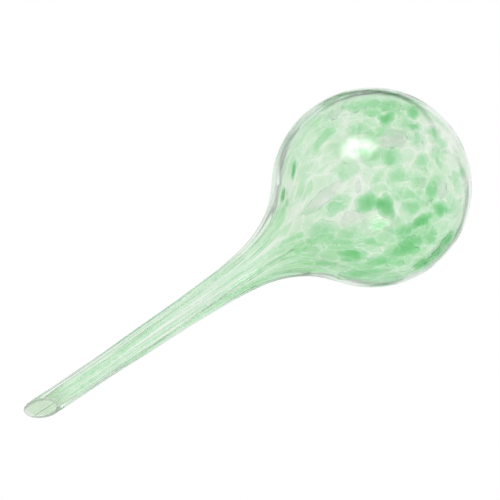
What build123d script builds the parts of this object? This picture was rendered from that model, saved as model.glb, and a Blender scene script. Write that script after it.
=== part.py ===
from build123d import *
from math import acos, cos, degrees, radians, sin, sqrt
import os

os.makedirs("parts", exist_ok=True)

# A blown glass watering globe. The long axis is Z, the toe of the slanted
# mouth is at Z = 0, turned from +Y towards -X, and the bulb is at the top.

# Outside of the glass
bulb_diameter = 80.0
overall_length = 206.0
stem_diameter = 9.7
straight_length = 36.0
shoulder_angle = 141.0
cut_angle = 32.0
cut_turn = 25.0
rim_polish = 0.25

# Wall: a clear inner gather and a clear casing with the colour between them
crown_wall = 1.2
shoulder_wall = 2.4
stem_wall = 1.25
casing_share = 0.55

# The neck's outer line, as shares of its rise and of its widening
neck_shares = (
    (0.92, 0.585),
    (0.86, 0.400),
    (0.765, 0.217),
    (0.667, 0.136),
    (0.47, 0.069),
    (0.18, 0.027),
)
neck_steps = 8

# Chips of coloured glass picked up on the bulb
seat_count = 96
last_seat_angle = 127.0
crown_limit_angle = 50.0
belly_limit_angle = 95.0
large_chip_radius = 5.4
medium_chip_radius = 4.4
white_chip_radius = 3.1
chip_height = 0.3
chip_bite = 0.12
white_seats = (9, 15, 20, 28, 31, 38, 47, 54, 62, 67, 76)
first_seat_turn = 34.0

# Chips drawn out lengthwise in the neck and the stem
neck_streak_count = 9
stem_streak_count = 4
neck_streak_angle = 25.0
green_streak_angle = 30.0
white_streak_angle = 20.0
streak_height = 0.28
streak_bite = 0.1
neck_row_shares = (0.02, 0.23)
stem_row_shares = ((0.25, 0.48), (0.5, 0.725), (0.765, 0.88))
first_streak_turn = 27.0
streak_swell_shares = ((0.2, 0.8), (0.5, 1.0), (0.8, 0.8))

bulb_radius = bulb_diameter / 2
bulb_centre_height = overall_length - bulb_radius
stem_radius = stem_diameter / 2
turn_of_shoulder = radians(shoulder_angle)
shoulder_radius = bulb_radius * sin(turn_of_shoulder)
shoulder_height = bulb_centre_height + bulb_radius * cos(turn_of_shoulder)
widening = shoulder_radius - stem_radius
rise = shoulder_height - straight_length

# The outer line of the glass, from the crown down the bulb and the neck
outer_dome = TangentArc(
    (0, overall_length), (shoulder_radius, shoulder_height), tangent=(1, 0)
)
neck_points = [
    (stem_radius + swell * widening, straight_length + climb * rise)
    for climb, swell in neck_shares
]
outer_neck = Spline(
    outer_dome @ 1,
    *neck_points,
    (stem_radius, straight_length),
    tangents=(outer_dome % 1, (0, -1)),
)


# A point on the neck at a share of the wall's depth below the outer line
def neck_point(along, depth_share):
    wall = stem_wall + (shoulder_wall - stem_wall) * (1 - along) ** 2
    heading = outer_neck % along
    inward = Vector(heading.Y, -heading.X)
    return (outer_neck @ along) + inward * wall * depth_share


# The bulb's arc, the neck's curve and the straight end at that depth
def skin(depth_share):
    dome = TangentArc(
        (0, overall_length - crown_wall * depth_share),
        neck_point(0, depth_share),
        tangent=(1, 0),
    )
    neck = Spline(
        *[neck_point(step / neck_steps, depth_share) for step in range(neck_steps + 1)],
        tangents=(dome % 1, (0, -1)),
    )
    end = Line(neck @ 1, ((neck @ 1).X, -stem_radius))
    return dome, neck, end


# The slanted mouth, with its toe at Z = 0 once the rim is polished round
slant = radians(cut_angle)
toe_loss = rim_polish * ((1 + cos(slant)) / sin(slant) - 1)
mouth_plane = Plane(
    origin=Vector(0, stem_radius, -toe_loss).rotate(Axis.Z, cut_turn),
    x_dir=Vector(1, 0, 0).rotate(Axis.Z, cut_turn),
    z_dir=Vector(0, cos(slant), sin(slant)).rotate(Axis.Z, cut_turn),
)


# Clear inner gather, blown hollow
with BuildPart() as inner_gather:
    with BuildSketch(Plane.XZ):
        with BuildLine():
            outside = skin(casing_share)
            inside = skin(1)
            Line(outside[0] @ 0, inside[0] @ 0)
            Line(outside[2] @ 1, inside[2] @ 1)
        make_face()
    revolve(axis=Axis.Z)
    split(bisect_by=mouth_plane, keep=Keep.TOP)
    mouth = faces().filter_by(GeomType.PLANE)[0]
    fillet(mouth.inner_wires()[0].edges(), radius=rim_polish)

# Clear casing before the chips are pressed into it
with BuildPart() as plain_casing:
    with BuildSketch(Plane.XZ):
        with BuildLine():
            outside = skin(0)
            inside = skin(casing_share)
            Line(outside[0] @ 0, inside[0] @ 0)
            Line(outside[2] @ 1, inside[2] @ 1)
        make_face()
    revolve(axis=Axis.Z)
    split(bisect_by=mouth_plane, keep=Keep.TOP)
    mouth = faces().filter_by(GeomType.PLANE)[0]
    fillet(mouth.outer_wire().edges(), radius=rim_polish)

# The surface where the two clear layers are fused
bond_dome, bond_neck, bond_end = skin(casing_share)
bond_radius = bond_dome.radius
bond_centre = (0, 0, bond_dome.arc_center.Y)
bond_line = Wire([bond_neck, Line(bond_end @ 0, ((bond_end @ 0).X, 0))])


# One chip, as a low dome standing on the fused surface, on the Z axis
def chip_profile(chip_radius):
    foot = sqrt(bond_radius**2 - chip_radius**2) - chip_bite
    top = bond_radius + chip_height
    dome = TangentArc((0, top), (chip_radius, foot), tangent=(1, 0))
    Polyline(dome @ 1, (0, foot), dome @ 0)


with BuildPart() as large_chip:
    with BuildSketch(Plane.XZ):
        with BuildLine():
            chip_profile(large_chip_radius)
        make_face()
    revolve(axis=Axis.Z)

with BuildPart() as medium_chip:
    with BuildSketch(Plane.XZ):
        with BuildLine():
            chip_profile(medium_chip_radius)
        make_face()
    revolve(axis=Axis.Z)

with BuildPart() as white_chip:
    with BuildSketch(Plane.XZ):
        with BuildLine():
            chip_profile(white_chip_radius)
        make_face()
    revolve(axis=Axis.Z)

# Seats spread evenly round the bulb, each turned on by the golden angle
golden_turn = 180 * (3 - sqrt(5))
seats = []
for number in range(seat_count):
    polar = degrees(acos(1 - (2 * number + 1) / seat_count))
    turn = first_seat_turn + number * golden_turn
    outward = Vector(0, 0, 1).rotate(Axis.Y, polar).rotate(Axis.Z, turn)
    if polar < last_seat_angle:
        seats.append((number, polar, Plane(origin=bond_centre, z_dir=outward)))


# The seats of one kind of chip between two angles from the crown
def seats_between(first_angle, last_angle, remainder):
    return [
        place.location
        for number, polar, place in seats
        if first_angle <= polar < last_angle
        and number not in white_seats
        and number % 2 == remainder
    ]


def place_green_chips(first_angle, last_angle):
    with Locations(*seats_between(first_angle, last_angle, 0)):
        add(large_chip.part)
    with Locations(*seats_between(first_angle, last_angle, 1)):
        add(medium_chip.part)


# One drawn-out chip, thickest at its middle, along the fused line
def bond_point(along, lift):
    heading = bond_line % along
    return (bond_line @ along) + Vector(-heading.Y, heading.X) * lift


def place_streaks(row, count, phase, spread_angle):
    first, last = row
    span = last - first
    for number in range(count):
        turn = first_streak_turn + (number + phase) * 360 / count - spread_angle / 2
        with BuildSketch(Plane.XZ.rotated((0, 0, turn))) as section:
            with BuildLine():
                tips = (bond_point(first, -streak_bite), bond_point(last, -streak_bite))
                upper = [
                    bond_point(first + span * along, streak_height * swell)
                    for along, swell in streak_swell_shares
                ]
                lower = [
                    bond_point(first + span * along, -2 * streak_bite)
                    for along, swell in streak_swell_shares
                ]
                Spline(tips[0], *upper, tips[1])
                Spline(tips[0], *lower, tips[1])
            make_face()
        revolve(section.sketch, axis=Axis.Z, revolution_arc=spread_angle)


# Every group of chips, still standing down past the fused surface
with BuildPart() as crown_chips:
    place_green_chips(0, crown_limit_angle)

with BuildPart() as belly_chips:
    place_green_chips(crown_limit_angle, belly_limit_angle)

with BuildPart() as shoulder_chips:
    place_green_chips(belly_limit_angle, last_seat_angle)

with BuildPart() as white_chips:
    with Locations(*[place.location for number, polar, place in seats if number in white_seats]):
        add(white_chip.part)

with BuildPart() as neck_streaks:
    place_streaks(neck_row_shares, neck_streak_count, 0, neck_streak_angle)

with BuildPart() as green_streaks:
    for order, row in enumerate(stem_row_shares):
        place_streaks(row, stem_streak_count, order / 2, green_streak_angle)

with BuildPart() as white_streaks:
    for order, row in enumerate(stem_row_shares):
        place_streaks(row, stem_streak_count, (order + 1) / 2, white_streak_angle)

# The chips as they are held, from the fused surface outwards
with BuildPart() as green_frit_crown:
    add(crown_chips.part)
    add(plain_casing.part, mode=Mode.INTERSECT)

with BuildPart() as green_frit_belly:
    add(belly_chips.part)
    add(plain_casing.part, mode=Mode.INTERSECT)

with BuildPart() as green_frit_shoulder:
    add(shoulder_chips.part)
    add(plain_casing.part, mode=Mode.INTERSECT)

with BuildPart() as white_frit:
    add(white_chips.part)
    add(plain_casing.part, mode=Mode.INTERSECT)

with BuildPart() as green_neck_streaks:
    add(neck_streaks.part)
    add(plain_casing.part, mode=Mode.INTERSECT)

with BuildPart() as green_stem_streaks:
    add(green_streaks.part)
    add(plain_casing.part, mode=Mode.INTERSECT)

with BuildPart() as white_stem_streaks:
    add(white_streaks.part)
    add(plain_casing.part, mode=Mode.INTERSECT)

# Clear casing, with a pocket for every chip
with BuildPart() as outer_casing:
    add(plain_casing.part)
    add(crown_chips.part, mode=Mode.SUBTRACT)
    add(belly_chips.part, mode=Mode.SUBTRACT)
    add(shoulder_chips.part, mode=Mode.SUBTRACT)
    add(white_chips.part, mode=Mode.SUBTRACT)
    add(neck_streaks.part, mode=Mode.SUBTRACT)
    add(green_streaks.part, mode=Mode.SUBTRACT)
    add(white_streaks.part, mode=Mode.SUBTRACT)

inner_gather.part.label = "inner_gather"
outer_casing.part.label = "outer_casing"
green_frit_crown.part.label = "green_frit_crown"
green_frit_belly.part.label = "green_frit_belly"
green_frit_shoulder.part.label = "green_frit_shoulder"
white_frit.part.label = "white_frit"
green_neck_streaks.part.label = "green_neck_streaks"
green_stem_streaks.part.label = "green_stem_streaks"
white_stem_streaks.part.label = "white_stem_streaks"

export_step(inner_gather.part, "parts/inner_gather.step")
export_step(outer_casing.part, "parts/outer_casing.step")
export_step(green_frit_crown.part, "parts/green_frit_crown.step")
export_step(green_frit_belly.part, "parts/green_frit_belly.step")
export_step(green_frit_shoulder.part, "parts/green_frit_shoulder.step")
export_step(white_frit.part, "parts/white_frit.step")
export_step(green_neck_streaks.part, "parts/green_neck_streaks.step")
export_step(green_stem_streaks.part, "parts/green_stem_streaks.step")
export_step(white_stem_streaks.part, "parts/white_stem_streaks.step")
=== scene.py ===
"""A hand-blown glass watering globe, pale green and white chips cased in clear glass."""

import bisect
import math
import random

import bmesh
import bpy
from mathutils import Matrix, Vector, noise


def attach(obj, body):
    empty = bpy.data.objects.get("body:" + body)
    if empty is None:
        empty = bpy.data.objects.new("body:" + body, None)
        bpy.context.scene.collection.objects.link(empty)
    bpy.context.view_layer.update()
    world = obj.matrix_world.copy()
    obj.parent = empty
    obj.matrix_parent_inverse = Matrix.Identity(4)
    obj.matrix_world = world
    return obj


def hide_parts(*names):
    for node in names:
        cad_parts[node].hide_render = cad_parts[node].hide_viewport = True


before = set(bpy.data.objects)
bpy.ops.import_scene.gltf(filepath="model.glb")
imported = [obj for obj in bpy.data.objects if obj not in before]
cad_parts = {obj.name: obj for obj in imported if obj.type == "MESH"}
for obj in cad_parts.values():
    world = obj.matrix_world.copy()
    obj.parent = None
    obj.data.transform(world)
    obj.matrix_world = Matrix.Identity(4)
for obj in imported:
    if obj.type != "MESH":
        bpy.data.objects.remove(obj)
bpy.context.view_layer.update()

# The globe's sizes, in metres
LENGTH = 0.206
BULB_RADIUS = 0.040
BULB_CENTRE = LENGTH - BULB_RADIUS
STEM_RADIUS = 0.00485
STRAIGHT = 0.036
SHOULDER = math.radians(141.0)
# The neck's outline from the shoulder down: (share of its height, share of its swell over the stem)
NECK_SHARES = (
    (0.92, 0.585),
    (0.86, 0.400),
    (0.765, 0.217),
    (0.667, 0.136),
    (0.47, 0.069),
    (0.18, 0.027),
)
CROWN_WALL = 0.0012
SHOULDER_WALL = 0.0024
STEM_WALL = 0.00125
CUT_ANGLE = math.radians(32.0)
CUT_TURN = math.radians(25.0)

# How the photograph shows it: the globe's axis in the frame, and the scale
TILT = math.radians(33.8)
METRES_A_PIXEL = 0.0004
BULB_PIXEL = (371.2, 187.7)
FRAME_MIDDLE_PIXEL = 250
LENS = 120.0
FILM = 36.0
VIEW_DISTANCE = 2 * FRAME_MIDDLE_PIXEL * METRES_A_PIXEL * LENS / FILM
RIGHT = Vector((math.sin(TILT), 0.0, math.cos(TILT)))
UP = Vector((-math.cos(TILT), 0.0, math.sin(TILT)))
NEAR = Vector((0.0, -1.0, 0.0))
VIEW_MIDDLE = (
    Vector((0.0, 0.0, BULB_CENTRE))
    + RIGHT * (FRAME_MIDDLE_PIXEL - BULB_PIXEL[0]) * METRES_A_PIXEL
    - UP * (FRAME_MIDDLE_PIXEL - BULB_PIXEL[1]) * METRES_A_PIXEL
)


def camera_as_photographed():
    data = bpy.data.cameras.new("camera")
    data.lens, data.sensor_width = LENS, FILM
    data.clip_start, data.clip_end = 0.01, 20.0
    camera = bpy.data.objects.new("camera", data)
    turn = Matrix((RIGHT, UP, NEAR)).transposed().to_4x4()
    camera.matrix_world = Matrix.Translation(VIEW_MIDDLE + NEAR * VIEW_DISTANCE) @ turn
    bpy.context.scene.collection.objects.link(camera)
    bpy.context.scene.camera = camera


camera_as_photographed()


# The outline


def hermite(a, b, ta, tb, t):
    """A point between a and b on the curve that leaves a along ta and meets b along tb."""
    return (
        a * (2 * t**3 - 3 * t**2 + 1)
        + ta * (t**3 - 2 * t**2 + t)
        + b * (-2 * t**3 + 3 * t**2)
        + tb * (t**3 - t**2)
    )


ARC_STEPS = 120
NECK_STEP = 0.0012


def outline():
    """The outer line from the crown to the end of the stem: points of (radius, height)."""
    shoulder = Vector(
        (BULB_RADIUS * math.sin(SHOULDER), BULB_CENTRE + BULB_RADIUS * math.cos(SHOULDER))
    )
    line = []
    for step in range(ARC_STEPS + 1):
        angle = SHOULDER * step / ARC_STEPS
        line.append(
            Vector((BULB_RADIUS * math.sin(angle), BULB_CENTRE + BULB_RADIUS * math.cos(angle)))
        )
    knots = [shoulder]
    for climb, swell in NECK_SHARES:
        knots.append(
            Vector(
                (
                    STEM_RADIUS + swell * (shoulder.x - STEM_RADIUS),
                    STRAIGHT + climb * (shoulder.y - STRAIGHT),
                )
            )
        )
    knots.append(Vector((STEM_RADIUS, STRAIGHT)))
    spans = [(b - a).length for a, b in zip(knots, knots[1:])]
    headings = [Vector((math.cos(SHOULDER), -math.sin(SHOULDER)))]
    for i in range(1, len(knots) - 1):
        before = (knots[i] - knots[i - 1]) / spans[i - 1]
        after = (knots[i + 1] - knots[i]) / spans[i]
        share = spans[i - 1] / (spans[i - 1] + spans[i])
        headings.append(before * (1 - share) + after * share)
    headings.append(Vector((0.0, -1.0)))
    for i, span in enumerate(spans):
        steps = max(4, round(span / NECK_STEP))
        for step in range(1, steps + 1):
            line.append(
                hermite(
                    knots[i],
                    knots[i + 1],
                    headings[i] * span,
                    headings[i + 1] * span,
                    step / steps,
                )
            )
    return line


OUTER = outline()


def skin_stations(line):
    """For each point of the outer line: its place, the way inwards, the wall and the length so far."""
    stations = []
    length = 0.0
    bulb_length = BULB_RADIUS * SHOULDER
    whole = sum((b - a).length for a, b in zip(line, line[1:]))
    for i, point in enumerate(line):
        if i:
            length += (point - line[i - 1]).length
        ahead = line[min(i + 1, len(line) - 1)]
        back = line[max(i - 1, 0)]
        heading = Vector((1.0, 0.0)) if i == 0 else (ahead - back).normalized()
        inward = Vector((heading.y, -heading.x))
        if length <= bulb_length:
            share = (1 - math.cos(length / BULB_RADIUS)) / (1 - math.cos(SHOULDER))
            wall = CROWN_WALL + (SHOULDER_WALL - CROWN_WALL) * share
        else:
            share = (length - bulb_length) / (whole - bulb_length)
            wall = STEM_WALL + (SHOULDER_WALL - STEM_WALL) * (1 - share) ** 2
        stations.append((point, inward, wall, length))
    return stations


STATIONS = skin_stations(OUTER)
LENGTHS = [station[3] for station in STATIONS]
NECK_END = LENGTHS[-1]


def station_at(length):
    """The outer line's place, way inwards and wall at a length from the crown."""
    if length >= NECK_END:
        point, inward, wall, last = STATIONS[-1]
        return point - Vector((0.0, length - last)), inward, wall
    i = max(1, bisect.bisect_left(LENGTHS, length))
    a, b = STATIONS[i - 1], STATIONS[i]
    t = (length - a[3]) / (b[3] - a[3])
    return a[0].lerp(b[0], t), a[1].lerp(b[1], t).normalized(), a[2] + (b[2] - a[2]) * t


def place(length, turn, depth_share):
    """The point in the glass at a length from the crown, a turn and a share of the wall's depth."""
    point, inward, wall = station_at(length)
    point = point + inward * wall * depth_share
    return Vector((point.x * math.cos(turn), point.x * math.sin(turn), point.y))


# The gather before it was drawn out: (length from the crown, radius, height)
DRAWN = (
    (0.0660, 0.0399, -0.0032),
    (0.0840, 0.0375, -0.0160),
    (0.0984, 0.0335, -0.0240),
    (0.1120, 0.0285, -0.0290),
    (0.1300, 0.0225, -0.0335),
    (0.1700, 0.0170, -0.0400),
    (0.2500, 0.0140, -0.0540),
)


def drawn_place(length, turn):
    """Where that point of the glass lay before the neck and the stem were pulled out of the bulb."""
    if length <= DRAWN[0][0]:
        angle = max(length, 0.0) / BULB_RADIUS
        radius, height = BULB_RADIUS * math.sin(angle), BULB_RADIUS * math.cos(angle)
    else:
        i = 1
        while i < len(DRAWN) - 1 and DRAWN[i][0] < length:
            i += 1
        a, b = DRAWN[i - 1], DRAWN[i]
        t = min(1.0, (length - a[0]) / (b[0] - a[0]))
        radius, height = a[1] + (b[1] - a[1]) * t, a[2] + (b[2] - a[2]) * t
    return Vector((radius * math.cos(turn), radius * math.sin(turn), height))


HEIGHTS = [-station[0].y for station in STATIONS]


def length_at_height(height):
    """The length from the crown of the outer line at a height."""
    if height < STATIONS[-1][0].y:
        return NECK_END + STATIONS[-1][0].y - height
    i = max(1, min(len(HEIGHTS) - 1, bisect.bisect_left(HEIGHTS, -height)))
    t = (-height - HEIGHTS[i - 1]) / (HEIGHTS[i] - HEIGHTS[i - 1])
    return LENGTHS[i - 1] + (LENGTHS[i] - LENGTHS[i - 1]) * clamp(t)


# The glass

ROUND = 168
# What the polishing takes off the sharp toe of the cut
RIM_LOSS = 0.00041
LIP_ROUNDING = 0.00042
# Heights through which both skins run straight on, the last one past the slanted mouth
RUN_ON = (STRAIGHT * 0.72, 0.0175, -0.004)
# How far the bore's rim is held back while the lip is joined
HELD_BACK = 0.002
MOUTH_TURN = Matrix.Rotation(CUT_TURN, 3, "Z")
TOE = MOUTH_TURN @ Vector((0.0, STEM_RADIUS, -RIM_LOSS))
MOUTH_WAY = MOUTH_TURN @ Vector((0.0, math.cos(CUT_ANGLE), math.sin(CUT_ANGLE)))
# The side of the bubble where the glass sagged while it was soft, and how much thicker it is there
THICK_SIDE = (UP - RIGHT * 0.4).normalized()
SAG = 0.0009
# Heights on the axis: where the sag sets in, where the drawn neck begins, and how softly each comes in
SAG_FROM = 0.10
NECK_TOP = 0.135
SOFTLY = 0.03
# Each skin of the glass: (share of the wall's depth, waver, its grain, its seed, side of the wall)
SKINS = (
    (0.0, 0.00006, 60.0, 3.0, -1.0),
    (1.0, 0.00016, 75.0, 11.0, 1.0),
)
OUTER_SKIN, INNER_SKIN, CUT_LIP = 0, 1, 2


def revolved(line):
    """A surface made by turning a line of (radius, height) points once round the axis."""
    bm = bmesh.new()
    verts = [bm.verts.new((p.x, 0.0, p.y)) for p in line]
    edges = [bm.edges.new(pair) for pair in zip(verts, verts[1:])]
    bmesh.ops.spin(
        bm,
        geom=verts + edges,
        cent=(0, 0, 0),
        axis=(0, 0, 1),
        dvec=(0, 0, 0),
        angle=math.tau,
        steps=ROUND,
        use_merge=True,
        use_normal_flip=False,
        use_duplicate=False,
    )
    bmesh.ops.remove_doubles(bm, verts=bm.verts, dist=1e-7)
    return bm


def wall_line(depth_share):
    """The glass's line at a share of the wall's depth, run on past the slanted mouth."""
    line = [point + inward * wall * depth_share for point, inward, wall, _ in STATIONS]
    foot = line[-1]
    for height in RUN_ON:
        line.append(Vector((foot.x, height)))
    return line


def clamp(value):
    """The value, held between 0 and 1."""
    return max(0.0, min(1.0, value))


def waver(bm, amount, grain, seed, inward_sign):
    """Moves a surface in and out a little, as hand-blown glass does, but not near the mouth."""
    bm.normal_update()
    for v in bm.verts:
        calm = clamp((v.co.z - STRAIGHT) / SOFTLY)
        if calm == 0.0:
            continue
        turn = math.atan2(v.co.y, v.co.x)
        where = drawn_place(length_at_height(v.co.z), turn) * grain
        swell = noise.noise(where + Vector((seed, 0.0, 0.0)))
        swell += 0.30 * noise.noise(where * 2.1 + Vector((0.0, seed, 0.0)))
        swell *= 1.0 + 0.3 * clamp((NECK_TOP - v.co.z) / SOFTLY)
        away = v.co - Vector((0.0, 0.0, BULB_CENTRE))
        away.z *= clamp((v.co.z - BULB_CENTRE + BULB_RADIUS) / SOFTLY)
        if away.length > 1e-9:
            away.normalize()
            v.co += away * inward_sign * amount * calm * (0.5 + 0.5 * swell)
            if inward_sign > 0:
                sag = max(0.0, away.dot(THICK_SIDE)) ** 1.5 * clamp((v.co.z - SAG_FROM) / SOFTLY)
                v.co -= away * SAG * sag


def object_from(name, bm, materials, smooth=True):
    """A finished piece: its mesh in place, its object at the origin."""
    mesh = bpy.data.meshes.new(name)
    for face in bm.faces:
        face.smooth = smooth
    bm.to_mesh(mesh)
    bm.free()
    for material in materials:
        mesh.materials.append(material)
    piece = bpy.data.objects.new(name, mesh)
    bpy.context.scene.collection.objects.link(piece)
    return piece


def glass_body(cased_glass):
    """The fused body of glass: outer skin, bore and bulb inside, and the polished slanted lip."""
    body = bmesh.new()
    for share, amount, grain, seed, sign in SKINS:
        bm = revolved(wall_line(share))
        waver(bm, amount, grain, seed, sign)
        bmesh.ops.bisect_plane(
            bm,
            geom=list(bm.verts) + list(bm.edges) + list(bm.faces),
            dist=1e-7,
            plane_co=TOE,
            plane_no=MOUTH_WAY,
            clear_inner=True,
        )
        for face in bm.faces:
            face.material_index = OUTER_SKIN if share == 0.0 else INNER_SKIN
        mesh = bpy.data.meshes.new("skin")
        bm.to_mesh(mesh)
        bm.free()
        body.from_mesh(mesh)
        bpy.data.meshes.remove(mesh)
    rims = [edge for edge in body.edges if edge.is_boundary]
    # The bore's rim is held back a little while the lip is joined, then let forward again
    bore_edges = [edge for edge in rims if edge.link_faces[0].material_index == INNER_SKIN]
    bore_rim = {v for edge in bore_edges for v in edge.verts}
    bmesh.ops.translate(body, verts=list(bore_rim), vec=MOUTH_WAY * HELD_BACK)
    lip = bmesh.ops.bridge_loops(body, edges=rims)["faces"]
    bmesh.ops.translate(body, verts=list(bore_rim), vec=MOUTH_WAY * -HELD_BACK)
    for face in lip:
        face.material_index = CUT_LIP
    bmesh.ops.recalc_face_normals(body, faces=body.faces)
    rounded = bmesh.ops.bevel(
        body,
        geom=rims,
        offset=LIP_ROUNDING,
        offset_type="WIDTH",
        segments=4,
        profile=0.5,
        affect="EDGES",
        material=-1,
    )["faces"]
    for face in rounded:
        face.material_index = CUT_LIP
    piece = object_from("globe_glass", body, [cased_glass])
    mark_skins(piece)
    mark_drawn(piece)
    return piece


def mark_skins(piece):
    """Keeps at each vertex whether it lies on the inner skin or the cut lip, for the colour to follow."""
    mesh = piece.data
    kinds = [set() for vertex in mesh.vertices]
    for face in mesh.polygons:
        for i in face.vertices:
            kinds[i].add(face.material_index)
        face.material_index = OUTER_SKIN
    inner = mesh.attributes.new("inner", "FLOAT", "POINT")
    lip = mesh.attributes.new("lip", "FLOAT", "POINT")
    for i, kind in enumerate(kinds):
        inner.data[i].value = float(INNER_SKIN in kind)
        lip.data[i].value = float(kind == {CUT_LIP})


def mark_drawn(piece):
    """Keeps at each vertex where its glass lay before it was drawn out, for the colour to follow."""
    layer = piece.data.attributes.new("drawn", "FLOAT_VECTOR", "POINT")
    for vertex in piece.data.vertices:
        co = vertex.co
        where = drawn_place(length_at_height(co.z), math.atan2(co.y, co.x))
        layer.data[vertex.index].vector = where


# The materials


def seen_on_bulb(across, down):
    """The way from the bulb's centre to the point of its front that the photograph shows there."""
    sight = (
        RIGHT * (across - FRAME_MIDDLE_PIXEL) * METRES_A_PIXEL
        - UP * (down - FRAME_MIDDLE_PIXEL) * METRES_A_PIXEL
        - NEAR * VIEW_DISTANCE
    ).normalized()
    start = VIEW_MIDDLE + NEAR * VIEW_DISTANCE - Vector((0.0, 0.0, BULB_CENTRE))
    nearest = start - sight * start.dot(sight)
    limit = BULB_RADIUS * 0.99
    if nearest.length > limit:
        nearest = nearest.normalized() * limit
    return (nearest - sight * math.sqrt(BULB_RADIUS**2 - nearest.length**2)).normalized()


def behind(way):
    """The place on the bulb's back that lies straight behind one on its front."""
    return way - NEAR * (2 * way.dot(NEAR))


# Patches that stay clear: (place in the unstretched bulb, radius)
CLEAR_SPOTS = (
    (seen_on_bulb(452, 133) * BULB_RADIUS, 0.0130),
    (seen_on_bulb(410, 151) * BULB_RADIUS, 0.0032),
    (seen_on_bulb(382, 253) * BULB_RADIUS, 0.0034),
    (seen_on_bulb(432, 252) * BULB_RADIUS, 0.0030),
    (seen_on_bulb(362, 180) * BULB_RADIUS, 0.0040),
    (seen_on_bulb(340, 113) * BULB_RADIUS, 0.0050),
    (behind(seen_on_bulb(444, 134)) * BULB_RADIUS, 0.0110),
)


class Nodes:
    """The nodes of a material or of the room, made and joined in one go."""

    def __init__(self, tree):
        self.tree = tree

    def put(self, value, socket):
        """Joins another node's output to a socket, or sets the socket to a plain value."""
        if isinstance(value, bpy.types.NodeSocket):
            self.tree.links.new(value, socket)
        else:
            socket.default_value = value

    def make(self, kind, inputs=None, **settings):
        node = self.tree.nodes.new(kind)
        for key, value in settings.items():
            setattr(node, key, value)
        for key, value in (inputs or {}).items():
            self.put(value, node.inputs[key])
        return node

    def mix(self, factor, a, b):
        return self.make("ShaderNodeMix", {0: factor, 6: a, 7: b}, data_type="RGBA").outputs[2]

    def math(self, operation, a, b=0.0):
        return self.make("ShaderNodeMath", {0: a, 1: b}, operation=operation).outputs[0]

    def vector_math(self, operation, a, b=(0.0, 0.0, 0.0), output="Vector"):
        return self.make("ShaderNodeVectorMath", {0: a, 1: b}, operation=operation).outputs[output]

    def between(self, value, low, high, out_low=0.0, out_high=1.0):
        """Goes softly from out_low to out_high as the value goes from low to high."""
        inputs = {0: value, 1: low, 2: high, 3: out_low, 4: out_high}
        return self.make("ShaderNodeMapRange", inputs, interpolation_type="SMOOTHSTEP").outputs[0]

    def cloud(self, where, scale, detail):
        inputs = {"Vector": where, "Scale": scale, "Detail": detail}
        return self.make("ShaderNodeTexNoise", inputs)

    def place_in_object(self):
        return self.make("ShaderNodeTexCoord").outputs["Object"]

    def grazing(self):
        """0 where the surface faces the eye, 1 where it is seen edge-on."""
        return self.make("ShaderNodeLayerWeight", {"Blend": 0.5}).outputs["Facing"]

    def kept_at_points(self, name, output="Fac"):
        return self.make("ShaderNodeAttribute", attribute_name=name).outputs[output]


class Glass(Nodes):
    """A clear glass and its nodes."""

    def __init__(self, name, ior=1.5):
        self.material = bpy.data.materials.new(name)
        self.material.use_nodes = True
        super().__init__(self.material.node_tree)
        self.shader = self.tree.nodes["Principled BSDF"]
        self.finish("Transmission Weight", 1.0)
        self.finish("Roughness", 0.0)
        self.finish("IOR", ior)

    def finish(self, socket, value):
        self.put(value, self.shader.inputs[socket])

    def absorb(self, colour, density):
        """Stains the light more, the thicker the glass is."""
        depth = self.make("ShaderNodeVolumeAbsorption", {"Color": colour, "Density": density})
        self.put(depth.outputs[0], self.tree.nodes["Material Output"].inputs["Volume"])


# The colours of the glass
CLEAR = (0.99, 0.995, 0.99, 1)
FAINT_GREEN = (0.95, 0.99, 0.955, 1)
# Painted shade: the grey of the outer skin where it is seen edge-on
GREY_EDGE_SHADE = (0.60, 0.69, 0.61, 1)
HAZE_GREEN = (0.65, 0.85, 0.64, 1)
RICH_GREEN = (0.42, 0.76, 0.44, 1)
BLOB_GREEN = (0.36, 0.75, 0.39, 1)
BARE_STEM = (0.93, 0.955, 0.925, 1)
BARE_BULB = (0.95, 0.91, 0.90, 1)
VEIN_WHITE = (0.93, 0.97, 0.92, 1)
# Painted shade: the deeper green of the stain where it is seen edge-on
EDGE_GREEN_SHADE = (0.26, 0.60, 0.33, 1)
TIP_GREEN = (0.42, 0.61, 0.38, 1)
LIP_GREEN = (0.74, 0.86, 0.73, 1)
DEPTH_GREEN = (0.63, 0.85, 0.65, 1)
STAIN_GRAIN = 120.0
STAIN_WANDER = 0.008


def outer_colour(n, drawn):
    """Nearly clear glass with a faint green cloud in it, and a painted grey shade where the skin is seen
    edge-on.
    """
    tint = n.between(n.cloud(drawn, 60.0, 1.0).outputs[0], 0.35, 0.7)
    clear = n.mix(tint, CLEAR, FAINT_GREEN)
    # Painted shade: the skin turns grey towards the edge-on rim
    return n.mix(n.between(n.grazing(), 0.55, 0.92), clear, GREY_EDGE_SHADE)


def stain_cells(n, drawn):
    """The stain's wandering place, its blobs and the distance to the veins between them."""
    warp = n.cloud(drawn, STAIN_GRAIN, 1.0)
    shift = n.vector_math("SUBTRACT", warp.outputs["Color"], (0.5, 0.5, 0.5))
    scaled = {0: shift, "Scale": STAIN_WANDER}
    shift = n.make("ShaderNodeVectorMath", scaled, operation="SCALE").outputs[0]
    moved = n.vector_math("ADD", drawn, shift)
    cells = {"Vector": moved, "Scale": STAIN_GRAIN, "Randomness": 0.9}
    soft = n.make("ShaderNodeTexVoronoi", {**cells, "Smoothness": 0.35}, feature="SMOOTH_F1")
    tone = n.make("ShaderNodeSeparateColor", {0: soft.outputs["Color"]}).outputs[0]
    edge = n.make("ShaderNodeTexVoronoi", cells, feature="DISTANCE_TO_EDGE").outputs["Distance"]
    blob = n.math("MULTIPLY", n.between(tone, 0.25, 0.90, 0.0, 0.9), n.between(edge, 0.0, 0.25))
    return moved, blob, edge


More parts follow.
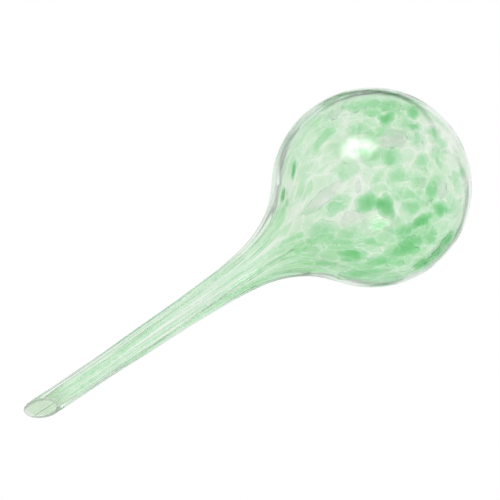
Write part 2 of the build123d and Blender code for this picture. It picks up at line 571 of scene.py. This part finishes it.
def stained_colour(n, drawn):
    """A pale green haze with soft blobs and thin clear veins, drawn out into streaks down the neck."""
    moved, blob, edge = stain_cells(n, drawn)
    haze = n.between(n.cloud(drawn, 42.0, 1.0).outputs[0], 0.30, 0.60)
    side = n.vector_math("DOT_PRODUCT", drawn, -UP, "Value")
    richer_foot = n.between(side, 0.002, 0.024)
    richer_top = n.between(side, -0.038, -0.018, 1.0, 0.0)
    richer = n.math("MAXIMUM", richer_foot, richer_top)
    haze = n.math("MAXIMUM", haze, n.math("MULTIPLY", richer, 0.92))
    height = n.make("ShaderNodeSeparateXYZ", {0: drawn}).outputs[2]
    thinned = n.between(height, -0.034, -0.026, 0.2, 1.0)
    haze = n.math("MULTIPLY", haze, thinned)
    haze = n.math("MAXIMUM", haze, n.between(height, -0.0510, -0.0465, 0.9, 0.0))
    blob = n.math("MULTIPLY", blob, thinned)
    for middle, radius in CLEAR_SPOTS:
        reach = n.vector_math("DISTANCE", moved, middle, "Value")
        kept = n.between(reach, radius * 0.6, radius * 1.3)
        haze = n.math("MULTIPLY", haze, kept)
        blob = n.math("MULTIPLY", blob, kept)
    richer = n.math("MULTIPLY", richer, thinned)
    ground = n.mix(richer, HAZE_GREEN, RICH_GREEN)
    bare = n.mix(thinned, BARE_STEM, BARE_BULB)
    green = n.mix(blob, n.mix(haze, bare, ground), BLOB_GREEN)
    vein = n.math("MULTIPLY", n.between(edge, 0.0, 0.07, 1.0, 0.0), 0.5)
    green = n.mix(vein, green, VEIN_WHITE)
    # Painted shade: where the stain is seen edge-on it is made a deeper green, standing in for the longer
    # way the light takes through the stain there
    grazed_shade = n.math("MULTIPLY", n.between(n.grazing(), 0.66, 0.98), n.math("MAXIMUM", richer, 0.15))
    green = n.mix(grazed_shade, green, EDGE_GREEN_SHADE)
    return n.mix(n.between(height, -0.0508, -0.0480, 1.0, 0.0), green, TIP_GREEN)


def make_cased_glass():
    """Clear glass stained on its inner skin, with a faint green in its depth and a satin cut lip."""
    n = Glass("cased_glass")
    drawn = n.kept_at_points("drawn", "Vector")
    lip = n.kept_at_points("lip")
    colour = n.mix(n.kept_at_points("inner"), outer_colour(n, drawn), stained_colour(n, drawn))
    n.finish("Base Color", n.mix(lip, colour, LIP_GREEN))
    n.finish("Roughness", n.math("MULTIPLY", lip, 0.4))
    n.finish("Transmission Weight", n.math("SUBTRACT", 1.0, n.math("MULTIPLY", lip, 0.55)))
    n.absorb(DEPTH_GREEN, 55.0)
    return n.material


def make_green_chip_glass(name, density, tint, ior=1.04):
    """Clear green glass, a little uneven, that stains the light by how thick it is."""
    n = Glass(name, ior)
    shade = n.between(n.cloud(n.place_in_object(), 420.0, 2.0).outputs[0], 0.3, 0.7)
    n.finish("Base Color", n.mix(shade, (0.90, 0.97, 0.92, 1), (0.99, 1.0, 0.99, 1)))
    n.absorb(tint, density)
    return n.material


def make_white_chip_glass(name, clearness, milk, ior, satin=0.28):
    """Milky white glass, a little grey, that lets some of the light through."""
    n = Glass(name, ior)
    n.finish("Transmission Weight", clearness)
    n.finish("Roughness", satin)
    shade = n.between(n.cloud(n.place_in_object(), 500.0, 3.0).outputs[0], 0.35, 0.65)
    paler = tuple(min(1.0, c + 0.06) for c in milk[:3]) + (1,)
    n.finish("Base Color", n.mix(shade, milk, paler))
    return n.material


green_chip = make_green_chip_glass("green_chip_glass", 900.0, (0.15, 0.76, 0.30, 1))
deep_green_chip = make_green_chip_glass("deep_green_chip_glass", 1500.0, (0.12, 0.75, 0.27, 1))
white_chip = make_white_chip_glass("white_chip_glass", 0.94, (0.94, 0.93, 0.95, 1), 1.03)
green_thread = make_green_chip_glass("green_thread_glass", 340.0, (0.15, 0.80, 0.20, 1), 1.02)
clear_streak = make_white_chip_glass("clear_streak_glass", 1.0, (0.88, 0.92, 0.88, 1), 1.22, 0.0)
white_thread = make_white_chip_glass("white_thread_glass", 0.94, (0.93, 0.95, 0.94, 1), 1.02, 0.0)


# The chips in front, in pixels of the photograph:
# (across, down, half width, half height, lean in degrees, strength)
GREEN_IN_FRONT = (
    (386, 118, 9, 7, 10, 3),
    (414, 111, 8, 6, -30, 3),
    (409, 124, 10, 5, -20, 2),
    (419, 137, 8, 8, 0, 2),
    (360, 128, 13, 6, 5, 1),
    (391, 155, 9, 9, 0, 2),
    (424, 159, 8, 8, 0, 2),
    (399, 176, 13, 8, 10, 2),
    (443, 145, 6, 8, 0, 1),
    (369, 203, 13.5, 11, 15, 3),
    (388, 206, 10, 15, 25, 3),
    (423, 221, 14, 7, 28, 3),
    (442, 210, 9, 9, 30, 3),
    (432, 193, 6, 10, 0, 2),
    (440, 163, 3, 8, 20, 2),
    (455, 178, 6, 9, 0, 2),
    (412, 246, 18, 9, 20, 2),
    (432, 236, 7, 8, 0, 2),
    (378, 262, 28, 5, 0, 1),
    (352, 256, 15, 5, -5, 2),
    (323, 231, 18, 11, 22, 1),
    (335, 208, 14, 6, 30, 1),
    (327, 130, 14, 8, 45, 0),
    (391, 104, 12, 6, 0, 2),
    (370, 103, 12, 4, 10, 1),
    (400, 232, 14, 8, 10, 1),
    (372, 243, 12, 4, -10, 1),
    (405, 196, 12, 8, 0, 1),
    (411, 206, 11, 8, 0, 2),
    (292.5, 170, 1.9, 12, -8, 3),
    (282, 195, 1.8, 9, -8, 3),
    (286, 203, 1.6, 4, 0, 2),
    (308, 267, 7, 2.0, -15, 3),
    (448, 241, 3.4, 12, -38, 3),
    (437, 254, 3.4, 11, -46, 3),
    (423, 264, 3.4, 12, -58, 3),
    (392, 281, 12, 3, 5, 1),
    (360, 275, 28, 5, 0, 1),
    (452, 203, 5, 9, 0, 1),
    (372, 178, 10, 7, 0, 0),
    (424, 203, 7, 6, 0, 1),
    (405, 105, 5, 4, 0, 1),
    (378, 226, 9, 6, 0, 1),
    (355, 106, 12, 5, 8, 1),
    (372, 112, 10, 4, 0, 1),
    (345, 240, 18, 7, 5, 0),
)
# Thin green chips in the wall along the rim: (place on the outline in degrees, half depth)
GREEN_AT_RIM = (
    (64, 0.16),
    (78, 0.16),
    (92, 0.16),
    (106, 0.16),
    (120, 0.13),
    (135, 0.09),
    (149, 0.08),
    (-30, 0.15),
    (-44, 0.16),
    (-58, 0.15),
    (-74, 0.10),
    (-90, 0.10),
)
# How far a rim chip is turned from the eye
RIM_TURN = math.radians(70.5)
# (across, down, half width, half height, lean in degrees)
WHITE_IN_FRONT = (
    (392, 138, 12, 9, 10),
    (422, 181.5, 5.5, 6.5, 0),
    (442.5, 188.5, 6.5, 9, 10),
    (321, 199, 25, 6, 38),
    (351, 217, 11, 6.5, 25),
    (334, 113, 10, 4.5, 35),
    (358, 187, 3, 6, 0),
)
# Places of the front, in pixels, that no strong chip of the back shows through
CALM_IN_FRONT = ((345, 172), (418, 180), (305, 190), (385, 206), (380, 260))
# A green chip's half depth by its strength, and each kind's place in the wall, in shares of the wall
HALF_DEPTHS = (0.05, 0.10, 0.16, 0.22)
DEEP = 3
GREEN_DEPTH = 0.42
RIM_DEPTH = 0.45
WHITE_DEPTH = 0.34
WHITE_HALF_DEPTH = 0.14
# How ragged the edge of a chip is and that of a splinter, which is at most this many pixels in half width
RAGGED = 0.55
SMOOTH = 0.15
SPLINTER = 3
# The rest of the bulb's chips
SCATTERED = 120
LOWEST = math.cos(math.radians(134))
WHITE_SHARE = 0.08
GOLDEN_ANGLE = math.pi * (3.0 - math.sqrt(5.0))


def in_wall(way, depth_share):
    """The point of the wall in a direction from the bulb's centre, at a share of the wall's depth."""
    angle = math.acos(max(-1.0, min(1.0, way.z)))
    return place(BULB_RADIUS * angle, math.atan2(way.y, way.x), depth_share)


def ragged(x, y, seed, amount):
    """How far a chip's edge stands out in a direction: it is broken glass, so never a plain circle."""
    turn = math.atan2(y, x)
    where = Vector((math.cos(turn) * 1.1 + seed * 7.31, math.sin(turn) * 1.1, seed * 3.7))
    return 1.0 + amount * (noise.noise(where) + 0.45 * noise.noise(where * 2.6))


def press_chip(bm, way_at, depth, half_depth, seed, material_index, broken, flat):
    """One chip melted into the wall: way_at gives the direction for each place across it."""
    made = bmesh.ops.create_icosphere(bm, subdivisions=3, radius=1.0)["verts"]
    for v in made:
        k = ragged(v.co.x, v.co.y, seed, broken)
        x, y, z = v.co.x * k, v.co.y * k, v.co.z
        lift = math.copysign(abs(z) ** flat, z)
        v.co = in_wall(way_at(x, y), depth - lift * half_depth)
    for face in {f for v in made for f in v.link_faces}:
        face.material_index = material_index


def photo_way(spot):
    """The place on the bulb for each place across a chip that the photograph shows."""
    across, down, half_width, half_height, lean = spot[:5]
    lean = math.radians(lean)

    def way_at(x, y):
        right = x * half_width * math.cos(lean) - y * half_height * math.sin(lean)
        raised = x * half_width * math.sin(lean) + y * half_height * math.cos(lean)
        return seen_on_bulb(across + right, down - raised)

    return way_at


def scattered_way(middle, reach, stretch, lean):
    """The place on the bulb for each place across a chip elsewhere on it."""
    south = Vector((0.0, 0.0, -1.0))
    south = (south - middle * middle.dot(south)).normalized()
    east = middle.cross(south)
    first = (south * math.cos(lean) + east * math.sin(lean)) * reach * stretch / BULB_RADIUS
    second = (east * math.cos(lean) - south * math.sin(lean)) * reach / BULB_RADIUS

    def way_at(x, y):
        return (middle + first * x + second * y).normalized()

    return way_at


# How far from the crown these zones of the bulb reach, in degrees; the rest is the shoulder
CROWN_REACH = 50
BELLY_REACH = 95


def zone_of(way):
    angle = math.degrees(math.acos(way.z))
    return "crown" if angle < CROWN_REACH else "belly" if angle < BELLY_REACH else "shoulder"


def green_chip_at(chips, way, way_at, strength, seed, broken):
    deep = int(strength == DEEP)
    chips[zone_of(way)].append((way_at, GREEN_DEPTH, HALF_DEPTHS[strength], seed, deep, broken))


def white_chip_at(chips, way_at, seed):
    chips["white"].append((way_at, WHITE_DEPTH, WHITE_HALF_DEPTH, seed, 0, RAGGED))


def add_chips_in_front(chips):
    for number, spot in enumerate(GREEN_IN_FRONT):
        broken = RAGGED if min(spot[2], spot[3]) > SPLINTER else SMOOTH
        way = seen_on_bulb(spot[0], spot[1])
        green_chip_at(chips, way, photo_way(spot), spot[5], number + 0.5, broken)
    for number, (angle, half) in enumerate(GREEN_AT_RIM):
        angle = math.radians(angle)
        rim = RIGHT * math.cos(angle) + UP * math.sin(angle)
        way = rim * math.sin(RIM_TURN) + NEAR * math.cos(RIM_TURN)
        way_at = scattered_way(way, 0.0018, 3.3, 0.0)
        chips[zone_of(way)].append((way_at, RIM_DEPTH, half, number + 300.5, 0, SMOOTH))
    for number, spot in enumerate(WHITE_IN_FRONT):
        white_chip_at(chips, photo_way(spot), number + 60.5)


def add_chips_behind(chips):
    """The chips of the sides and back, scattered evenly along a spiral from the crown down."""
    calm = [seen_on_bulb(*spot) for spot in CALM_IN_FRONT]
    dice = random.Random(14)
    for number in range(SCATTERED):
        height = 1.0 - (1.0 - LOWEST) * (number + 0.5) / SCATTERED
        turn = number * GOLDEN_ANGLE + dice.uniform(-0.2, 0.2)
        flat = math.sqrt(1.0 - height * height)
        way = Vector((flat * math.cos(turn), flat * math.sin(turn), height))
        reach, stretch = dice.uniform(0.0022, 0.0048), dice.uniform(1.0, 1.7)
        lean, tone, kind = dice.uniform(0, math.pi), dice.random(), dice.random()
        # None lies in front, where the photograph places each chip, or on the edge of the shoulder
        if way.dot(NEAR) > 0.12 or (way.dot(NEAR) > -0.15 and way.dot(RIGHT) < 0.0):
            continue
        if math.degrees(math.acos(height)) > 105:
            lean, stretch = 0.0, stretch * 1.4
        white = kind < WHITE_SHARE
        way_at = scattered_way(way, reach * (0.8 if white else 1.0), stretch, lean)
        in_calm = any(behind(way).dot(spot) > 0.97 for spot in calm)
        seed = number + 100.5
        if white and not in_calm:
            white_chip_at(chips, way_at, seed)
            continue
        strength = int(tone * 3.2)
        # The photograph shows only faint ones through the shoulder's upper side
        if in_calm or (way.dot(RIGHT) < 0.15 and way.dot(UP) > -0.25):
            strength = 0
        green_chip_at(chips, way, way_at, strength, seed, RAGGED)


def all_chips():
    """The bulb's chips by zone: (way_at, depth, half depth, seed, deep or not, raggedness)."""
    chips = {"crown": [], "belly": [], "shoulder": [], "white": []}
    add_chips_in_front(chips)
    add_chips_behind(chips)
    return chips


def placed_piece(piece, slot, *nodes):
    """A finished piece, riding on the globe in place of its CAD nodes."""
    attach(piece, "root")
    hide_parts(*nodes)


def chips_piece(name, chips, materials, flat, node, slot):
    bm = bmesh.new()
    for chip in chips:
        press_chip(bm, *chip, flat)
    placed_piece(object_from(name, bm, materials), slot, node)


def cut_height(turn):
    """How high the slanted mouth cuts the stem's skin at a turn round the axis."""
    toe_turn = math.pi / 2 + CUT_TURN
    return TOE.z + STEM_RADIUS * (1 - math.cos(turn - toe_turn)) / math.tan(CUT_ANGLE)


# Clear streaks in front that catch the light:
# (start and end in length from the crown, turns at both, half width), the last three in degrees
STREAKS_IN_FRONT = (
    (0.110, 0.206, -80, -34, 2.4),
    (0.116, 0.198, -72, -28, 1.8),
    (0.130, 0.196, -126, -122, 2.2),
)
# A thread that starts nearer to the crown than this is left out along the photograph's upper edge
HIGH_START = 0.112
TOP_EDGE = -0.86
# How far short of the cut mouth a thread ends
END_GAP = 0.002


def drawn_thread(bm, start, end, turn, half_turn, depth, half_depth, seed, twist=0.0):
    """One chip drawn out down the neck or the stem: it narrows with the glass that it lies in."""
    end = min(end, NECK_END + STRAIGHT - cut_height(turn) - END_GAP)
    made = bmesh.ops.create_uvsphere(bm, u_segments=12, v_segments=22, radius=1.0)["verts"]
    for v in made:
        along = math.asin(max(-1.0, min(1.0, v.co.z))) / (math.pi / 2)
        taper = (1.0 - along * along) ** 0.55
        ring = math.hypot(v.co.x, v.co.y)
        x, y = (v.co.x / ring, v.co.y / ring) if ring > 1e-6 else (0.0, 0.0)
        length = (start + end) / 2 + along * (end - start) / 2
        sway = noise.noise(Vector((seed * 5.3, length * 38.0, 0.0))) * 0.16
        if twist:
            sway = twist * (1.0 + along) / 2
        fat = 1.0 + 0.5 * noise.noise(Vector((seed * 2.9, length * 70.0, 9.0)))
        v.co = place(length, turn + sway + x * taper * half_turn * fat, depth - y * taper * half_depth)
    return {face for v in made for face in v.link_faces}


def threads_piece(
    name, count, seed, starts, lengths, half_turns, depth, half_depth, materials, node, slot
):
    """Drawn-out chips all round, and with a second material the clear streaks as well."""
    dice = random.Random(seed)
    bm = bmesh.new()
    for number in range(count):
        turn = (number + dice.uniform(0.1, 0.9)) * math.tau * 5 / count
        start = dice.uniform(*starts)
        end = start + dice.uniform(*lengths)
        half_turn = math.radians(dice.uniform(*half_turns))
        deep = half_depth * dice.uniform(0.6, 1.2)
        if start < HIGH_START and math.cos(turn) < TOP_EDGE:
            continue
        drawn_thread(bm, start, end, turn, half_turn, depth, deep, number + seed)
    if len(materials) > 1:
        for number, (start, end, *turns) in enumerate(STREAKS_IN_FRONT):
            turn, last_turn, half_turn = (math.radians(angle) for angle in turns)
            twist = last_turn - turn
            faces = drawn_thread(bm, start, end, turn, half_turn, 0.45, 0.30, number + 40, twist)
            for face in faces:
                face.material_index = 1
    placed_piece(object_from(name, bm, materials), slot, node)


glass = glass_body(make_cased_glass())
placed_piece(glass, "clear_casing", "inner_gather", "outer_casing")

# How a chip's face is shaped: green ones melt out to a thin edge, white ones stay blunt
MELTED, BLUNT = 2.1, 0.5
chips = all_chips()
greens = [green_chip, deep_green_chip]
for zone in ("crown", "belly", "shoulder"):
    chips_piece(f"green_chips_{zone}", chips[zone], greens, MELTED, f"green_frit_{zone}", "green_frit")
chips_piece("white_chips", chips["white"], [white_chip], BLUNT, "white_frit", "white_frit")
threads_piece(
    "green_neck_tongues",
    count=30,
    seed=21,
    starts=(0.094, 0.112),
    lengths=(0.028, 0.060),
    half_turns=(4.0, 9.0),
    depth=0.45,
    half_depth=0.22,
    materials=[green_thread],
    node="green_neck_streaks",
    slot="green_streak",
)
threads_piece(
    "green_stem_threads",
    count=44,
    seed=22,
    starts=(0.120, 0.205),
    lengths=(0.035, 0.080),
    half_turns=(4.0, 9.0),
    depth=0.45,
    half_depth=0.24,
    materials=[green_thread],
    node="green_stem_streaks",
    slot="green_streak",
)
threads_piece(
    "white_stem_threads",
    count=16,
    seed=23,
    starts=(0.112, 0.200),
    lengths=(0.020, 0.060),
    half_turns=(2.0, 5.0),
    depth=0.30,
    half_depth=0.10,
    materials=[white_thread, clear_streak],
    node="white_stem_streaks",
    slot="white_streak",
)


# Light

# The even level of the room, and the turn and darkness of its gaps and of the low band
FILL = 0.75
GAP_TURN = math.radians(28.0)
GAP_DARKNESS = 0.45
BAND_TURN = math.radians(-22.0)
BAND_DARKNESS = 0.58


def studio_world():
    """A white room with two dark gaps behind the globe and a low one on its left, and a soft fill."""
    world = bpy.data.worlds.new("studio")
    world.use_nodes = True
    bpy.context.scene.world = world
    world.node_tree.nodes.clear()
    n = Nodes(world.node_tree)
    way = n.make("ShaderNodeTexCoord").outputs["Generated"]
    across, along, rise = n.make("ShaderNodeSeparateXYZ", {0: way}).outputs
    azimuth = n.math("ARCTAN2", across, along)
    from_gap = n.math("SUBTRACT", n.math("ABSOLUTE", azimuth), GAP_TURN)
    gap = n.between(n.math("ABSOLUTE", from_gap), 0.05, 0.16, 1.0, 0.0)
    gap = n.math("MULTIPLY", gap, n.between(n.math("ABSOLUTE", rise), 0.04, 0.14, 0.45, 1.0))
    # The left gap is darker than the right one, and darkest high up
    left = n.math("LESS_THAN", azimuth, 0.0)
    more = n.math("SUBTRACT", n.between(rise, 0.0, 0.26, 0.62, 0.80), GAP_DARKNESS)
    gap = n.math("MULTIPLY", gap, n.math("ADD", n.math("MULTIPLY", left, more), GAP_DARKNESS))
    drop = n.math("MULTIPLY", rise, -1.0)
    band = n.math("MULTIPLY", n.between(drop, 0.36, 0.42), n.between(drop, 0.48, 0.56, 1.0, 0.0))
    from_band = n.math("ABSOLUTE", n.math("SUBTRACT", azimuth, BAND_TURN))
    band = n.math("MULTIPLY", band, n.between(from_band, 0.25, 0.35, 1.0, 0.0))
    dark = n.math("MAXIMUM", gap, n.math("MULTIPLY", band, BAND_DARKNESS))
    level = n.math("SUBTRACT", 1.0, dark)
    # The camera sees plain white, the glass sees the room, and all else gets the even fill
    path = n.make("ShaderNodeLightPath").outputs
    mirrored = n.math("MAXIMUM", path["Is Glossy Ray"], path["Is Transmission Ray"])
    light = n.math("ADD", n.math("MULTIPLY", mirrored, n.math("SUBTRACT", level, FILL)), FILL)
    to_white = n.math("MULTIPLY", path["Is Camera Ray"], n.math("SUBTRACT", 1.0, light))
    strength = n.math("ADD", to_white, light)
    background = n.make("ShaderNodeBackground", {0: (1, 1, 1, 1), 1: strength})
    n.make("ShaderNodeOutputWorld", {0: background.outputs[0]})


def stage_nodes(name):
    """A new material for the stage and its nodes, still empty."""
    material = bpy.data.materials.new(name)
    material.use_nodes = True
    material.node_tree.nodes.clear()
    return material, Nodes(material.node_tree)


# Cards that glow only for the glass to mirror, a painted highlight of the lamp and the screen round it;
# they light nothing:
# (name, pixel of the bulb's front where it shows, size, glow, whether it shows through the glass)
HIGHLIGHT_CARDS = (
    ("soft_box_highlight_card", (353, 148), (0.56, 0.52), 11.0, False),
    ("screen_highlight_card", (364, 146), (0.70, 0.50), 5.0, True),
)
CARD_DISTANCE = 0.75
LAMP_SIZE = (0.44, 0.30)
LAMP_WATTS = 3.0


def card_place(spot):
    """Where a card stands, and its turn, so that the bulb mirrors it at a pixel of the photograph."""
    seen = seen_on_bulb(*spot)
    mirror_point = Vector((0.0, 0.0, BULB_CENTRE)) + seen * BULB_RADIUS
    viewer = (VIEW_MIDDLE + NEAR * VIEW_DISTANCE - mirror_point).normalized()
    mirrored = 2 * seen * seen.dot(viewer) - viewer
    middle = mirror_point + mirrored * CARD_DISTANCE
    across = (RIGHT - mirrored * RIGHT.dot(mirrored)).normalized()
    turn = Matrix((across, mirrored.cross(across), mirrored)).transposed().to_4x4()
    return middle, Matrix.Translation(middle) @ turn


def highlight_card(name, spot, size, highlight_level, through_glass):
    """A card that glows in its middle and fades to nothing at its edge: a painted highlight, seen only in
    the glass and lighting nothing.
    """
    middle, matrix = card_place(spot)
    bm = bmesh.new()
    bmesh.ops.create_circle(bm, cap_ends=True, segments=32, radius=0.5)
    bmesh.ops.scale(bm, verts=bm.verts, vec=(*size, 1))
    bmesh.ops.transform(bm, verts=bm.verts, matrix=matrix)
    material, n = stage_nodes(name)
    reach = n.vector_math("DISTANCE", n.place_in_object(), middle, "Value")
    fade = n.between(reach, size[1] * 0.08, size[1] * 0.5, highlight_level, 0.0)
    glow = n.make("ShaderNodeEmission", {1: fade})
    n.make("ShaderNodeOutputMaterial", {0: glow.outputs[0]})
    card = object_from(name, bm, [material], smooth=False)
    card.visible_camera = False
    card.visible_diffuse = False
    card.visible_transmission = through_glass
    card.visible_shadow = False


def soft_box():
    """The lamp on the bulb's upper left, kept out of the glass's mirror, and glowing cards in its place
    that paint the highlight of the box and its screen.
    """
    lamp = bpy.data.lights.new("soft_box", "AREA")
    lamp.shape = "RECTANGLE"
    lamp.size, lamp.size_y = LAMP_SIZE
    lamp.energy = LAMP_WATTS
    lamp_object = bpy.data.objects.new("soft_box", lamp)
    lamp_object.matrix_world = card_place(HIGHLIGHT_CARDS[0][1])[1]
    # The glass mirrors the glowing cards, a painted highlight, instead of this lamp
    lamp_object.visible_glossy = False
    lamp_object.visible_transmission = False
    bpy.context.scene.collection.objects.link(lamp_object)
    for card in HIGHLIGHT_CARDS:
        highlight_card(*card)


FLOOR_HEIGHT = -0.45
FLOOR_RADIUS = 1.1


def pale_floor():
    """A plain pale floor well below the globe, which is held up in the air by its stem."""
    bm = bmesh.new()
    bmesh.ops.create_circle(bm, cap_ends=True, segments=96, radius=FLOOR_RADIUS)
    bmesh.ops.translate(bm, verts=bm.verts, vec=(0, 0, FLOOR_HEIGHT))
    material, n = stage_nodes("pale_floor")
    flat = n.vector_math("MULTIPLY", n.place_in_object(), (1, 1, 0))
    fade = n.between(n.vector_math("LENGTH", flat, output="Value"), 0.35, 1.0)
    matt = n.make("ShaderNodeBsdfDiffuse", {0: (0.93, 0.93, 0.93, 1)})
    glow = n.make("ShaderNodeEmission")
    mix = n.make("ShaderNodeMixShader", {0: fade, 1: matt.outputs[0], 2: glow.outputs[0]})
    n.make("ShaderNodeOutputMaterial", {0: mix.outputs[0]})
    object_from("pale_floor", bm, [material], smooth=False)


studio_world()
soft_box()
pale_floor()

scene = bpy.context.scene
scene.view_settings.view_transform = "Standard"
# Light crosses many skins of glass and chips before it gets out
scene.cycles.max_bounces = 96
scene.cycles.transmission_bounces = 96
scene.cycles.glossy_bounces = 16
